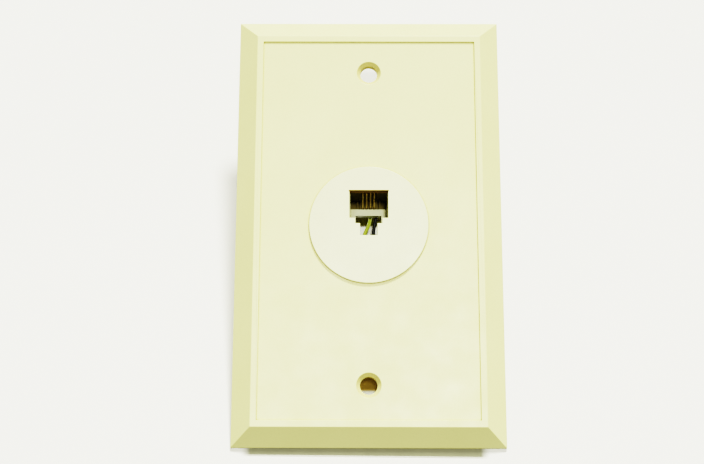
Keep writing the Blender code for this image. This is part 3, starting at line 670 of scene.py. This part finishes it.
LEAD_RADIUS = 0.475 * MM
LEAD_STEP = 0.35 * MM
LEAD_SIDES = 20
LEAD_LEVEL = 10.62 * MM
LEAD_START = 4.45 * MM
CONTACT_PITCH = 1.02 * MM
LEAD_OF_CONTACT = ("black", "red", "green", "yellow")
LEAD_ROUTES_MM = {
    "black": [(-1.35, 9.7, 11.2), (0.2, 10.6, 12.6), (2.6, 10.9, 13.3), (4.3, 10.4, 12.2),
              (3.3, 9.7, 9.9), (2.6, 9.4, 7.8), (1.95, 9.3, 4.5), (1.45, 9.5, 1.0),
              (2.3, 10.1, -2.5), (4.2, 9.7, -5.0), (6.4, 8.7, -6.6)],
    "red": [(-0.6, 9.9, 9.9), (-2.2, 11.4, 9.6), (-4.6, 11.6, 9.5), (-6.6, 10.4, 9.3),
            (-7.9, 8.6, 9.2)],
    "green": [(0.6, 10.2, 10.0), (1.5, 12.1, 9.9), (4.0, 12.8, 9.8), (6.3, 11.2, 9.5),
              (7.9, 8.8, 9.2)],
    "yellow": [(1.5, 9.6, 10.1), (1.1, 10.3, 8.0), (0.6, 10.1, 5.5), (0.15, 9.7, 3.3),
               (-0.9, 9.7, 0.9), (-2.2, 10.1, -2.5), (-4.2, 9.7, -5.0), (-6.4, 8.7, -6.6)],
}

# The lug's barrel: how far from the screw it starts, its length, its radius and the way it points.
BARREL_START = 4.4 * MM
BARREL_LENGTH = 2.8 * MM
BARREL_RADIUS = 0.95 * MM
LUG_WAYS = {"red": (0.96, -0.28), "green": (-0.96, -0.28), "yellow": (0.90, 0.436),
            "black": (-0.90, 0.436)}
STRAND_RADIUS = 0.11 * MM
STRAND_LAY = 5.0 * MM


def terminal_centre(colour):
    low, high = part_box(f"terminal_screw_{colour}")
    return (low + high) / 2


def barrel_point(colour, distance):
    """A point on the axis of the lug's barrel, at a distance from its screw."""
    centre = terminal_centre(colour)
    way_x, way_z = LUG_WAYS[colour]
    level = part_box(f"spade_lug_{colour}")[0].y + BARREL_RADIUS
    return Vector((centre.x + way_x * distance, level, centre.z + way_z * distance))


def make_lead(colour):
    """An insulated lead from its contact's joint, round the insert's back, into its lug's barrel."""
    position = LEAD_OF_CONTACT.index(colour) + 1
    x = (position - 2.5) * CONTACT_PITCH
    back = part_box("jack_insert")[1].y
    end = BARREL_START + BARREL_LENGTH
    route = [Vector((x, LEAD_START, LEAD_LEVEL)), Vector((x, back, LEAD_LEVEL))]
    route += [Vector(point) * MM for point in LEAD_ROUTES_MM[colour]]
    route += [barrel_point(colour, distance) for distance in
              (end + 1.0 * MM, end, BARREL_START + 1.2 * MM)]
    points = smooth_route(route, LEAD_STEP)
    lead = sweep(f"lead_sheath_{colour}", *with_round_ends(points, LEAD_RADIUS), LEAD_SIDES)
    dress(lead, f"{colour}_insulation", "plate")
    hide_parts(f"lead_{colour}")
    make_strands(colour)


def make_strands(colour):
    """Seven bare copper strands that stick out of the sheath, through the lug's barrel."""
    start = barrel_point(colour, BARREL_START + 1.4 * MM)
    stop = barrel_point(colour, BARREL_START - 0.35 * MM)
    axis = (stop - start).normalized()
    across = axis.orthogonal().normalized()
    other = axis.cross(across)
    centres = straight(start, stop, 0.2 * MM)
    for strand in range(7):
        offset = 0.0 if strand == 0 else 2 * STRAND_RADIUS
        points = []
        for centre in centres:
            turn = 2 * math.pi * ((strand - 1) / 6 + (centre - start).length / STRAND_LAY)
            points.append(centre + offset * (across * math.cos(turn) + other * math.sin(turn)))
        piece = sweep(f"strand_{colour}_{strand + 1}", points, [STRAND_RADIUS] * len(points), 8)
        piece.data.materials.append(MATERIALS["copper"])
        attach(piece, "plate")


# ---------------------------------------------------------------- screws and washers

SCREW_SIDES = 48
THREAD_STEPS = 10
TERMINAL_PITCH = 25.4 / 32 * MM
BASE_SCREW_PITCH = 1.06 * MM
CROSS_TAPER = 0.45
WASHER_BAND = 1.65 * MM
WASHER_SIDES = 72


def thread_rings(centre, tip, seat, crest, root, pitch):
    """Rings of a right-hand thread that starts at a blunt tip and runs out below the head."""
    taper = 1.3 * pitch
    run_out = 0.9 * pitch
    count = round((seat - tip) / pitch * THREAD_STEPS)
    rings = []
    for index in range(count + 1):
        level = tip + (seat - tip) * index / count
        from_tip = min(1.0, (level - tip) / taper)
        to_head = min(1.0, (seat - level) / run_out)
        core = root * (0.72 + 0.28 * from_tip)
        ring = []
        for turn in full_turn(SCREW_SIDES):
            phase = (level / pitch + turn / (2 * math.pi)) % 1.0
            flank = min(1.0, max(0.0, 1.35 * (1 - abs(2 * phase - 1)) - 0.15))
            radius = core + (crest - root) * flank * from_tip * to_head
            ring.append(Vector((centre.x + radius * math.cos(turn), level,
                                centre.z + radius * math.sin(turn))))
        rings.append(ring)
    return rings


def plain_ring(centre, radius, level, sides=SCREW_SIDES):
    return [Vector((centre.x + radius * math.cos(turn), level, centre.z + radius * math.sin(turn)))
            for turn in full_turn(sides)]


def head_rings(centre, seat, radius, height):
    """A pan head: a small foot radius, a short wall and a low dome."""
    foot = 0.06 * radius
    wall = 0.42 * height
    rings = [plain_ring(centre, radius - foot, seat)]
    rings += [plain_ring(centre, radius - foot * (1 - math.sin(turn)),
                         seat + foot * (1 - math.cos(turn)))
              for turn in (math.radians(30), math.radians(60), math.radians(90))]
    for step in range(9):
        turn = math.pi / 2 * step / 8.6
        rings.append(plain_ring(centre, radius * math.cos(turn) ** 0.62,
                                seat + wall + (height - wall) * math.sin(turn)))
    return rings


def prism(name, outline, centre, front, back, front_scale=1.0):
    """An outline round a centre in the XZ plane, carried back and scaled at its front end."""
    rings = []
    for level, size in ((front, front_scale), (back, 1.0)):
        rings.append([Vector((centre.x + x * size, level, centre.z + z * size))
                      for x, z in outline])
    return skin(name, rings)


def cross_outline(reach, half_width):
    arm = [(reach, -half_width), (reach, half_width), (half_width, half_width)]
    outline = []
    for quarter in range(4):
        turn = Matrix.Rotation(math.pi / 2 * quarter, 2)
        outline += [tuple(turn @ Vector(point)) for point in arm]
    return outline


def make_screw(name, node, body, slot, crest, root, pitch, head_height, slot_width):
    """A threaded screw with a pan head. Its recess is a cross, with a slot across if it has a width."""
    low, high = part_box(node)
    centre = (low + high) / 2
    head_radius = (high.x - low.x) / 2
    seat = high.y - head_height
    rings = thread_rings(centre, low.y, seat - 0.05 * MM, crest, root, pitch)
    rings.append(plain_ring(centre, root, seat - 0.02 * MM))
    rings += head_rings(centre, seat, head_radius, head_height)
    screw = skin(name, rings)
    above = high.y + 0.5 * MM
    depth = 0.55 * head_height
    cross = cross_outline(0.52 * head_radius, 0.13 * head_radius)
    boolean_cut(screw, prism("cutter", cross, centre, high.y - depth, above, CROSS_TAPER))
    if slot_width:
        half = slot_width / 2
        reach = head_radius + 0.5 * MM
        outline = [(-reach, -half), (reach, -half), (reach, half), (-reach, half)]
        boolean_cut(screw, prism("cutter", outline, centre, high.y - 0.9 * depth, above))
    smooth(screw, 30.0)
    bevel = screw.modifiers.new("edge_radius", "BEVEL")
    bevel.width = 0.04 * MM
    bevel.segments = 2
    bevel.limit_method = "ANGLE"
    bevel.angle_limit = math.radians(50)
    dress(screw, slot, body)
    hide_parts(node)


def make_washer(colour):
    """A stamped washer: rolled upper edge, sharper lower edge."""
    node = f"terminal_washer_{colour}"
    low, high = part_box(node)
    centre = (low + high) / 2
    outer = (high.x - low.x) / 2
    bore = outer - WASHER_BAND
    rolled = 0.16 * MM
    profile = [(bore, low.y), (outer - 0.04 * MM, low.y), (outer, low.y + 0.04 * MM)]
    profile += [(outer - rolled * (1 - math.cos(turn)), high.y - rolled * (1 - math.sin(turn)))
                for turn in (0.0, math.radians(30), math.radians(60), math.radians(90))]
    profile += [(bore + 0.06 * MM, high.y), (bore, high.y - 0.06 * MM)]
    rings = [plain_ring(centre, radius, level, WASHER_SIDES) for radius, level in profile]
    washer = skin(f"washer_{colour}", rings, closed=True)
    smooth(washer, 40.0)
    dress(washer, "brass", f"washer_{colour}")
    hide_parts(node)


# ---------------------------------------------------------------- everything together

bpy.context.scene.view_settings.view_transform = "Filmic"
bpy.context.scene.view_settings.look = "Very High Contrast"

MATERIALS = make_materials()
SMOOTHING = angle_smoothing_group()

make_camera()
make_world()
make_table()
make_light_stop("light_stop_edge", STRIP_CORNERS, STRIP_FADE)
make_light_stop("light_stop_hole", HOLE_CORNERS, HOLE_FADE)
make_lights()

round_edges("wall_plate", "ivory_plastic", 0.18 * MM)
round_edges("jack_cover", "pale_ivory_plastic", 0.08 * MM, segments=2)
round_edges("jack_insert", "grey_ivory_plastic", 0.08 * MM, segments=2)
round_edges("lead_retainer", "pale_ivory_plastic", 0.20 * MM)
round_edges("terminal_base", "ivory_plastic", 0.15 * MM, segments=2)
for colour in COLOURS:
    round_edges(f"terminal_plate_{colour}", "brass", 0.06 * MM, segments=2)
    round_edges(f"spade_lug_{colour}", "tinned_brass", 0.05 * MM, segments=2)
    make_washer(colour)
    make_screw(f"screw_{colour}", f"terminal_screw_{colour}", f"screw_{colour}", "brass",
               crest=2.0 * MM, root=1.55 * MM, pitch=TERMINAL_PITCH, head_height=2.5 * MM,
               slot_width=1.0 * MM)
    make_lead(colour)
for side in ("left", "right"):
    make_screw(f"self_tapper_{side}", f"base_screw_{side}", "plate", "plated_steel",
               crest=0.9 * MM, root=0.62 * MM, pitch=BASE_SCREW_PITCH, head_height=1.5 * MM,
               slot_width=0.0)
for number in range(1, 5):
    make_contact(number)
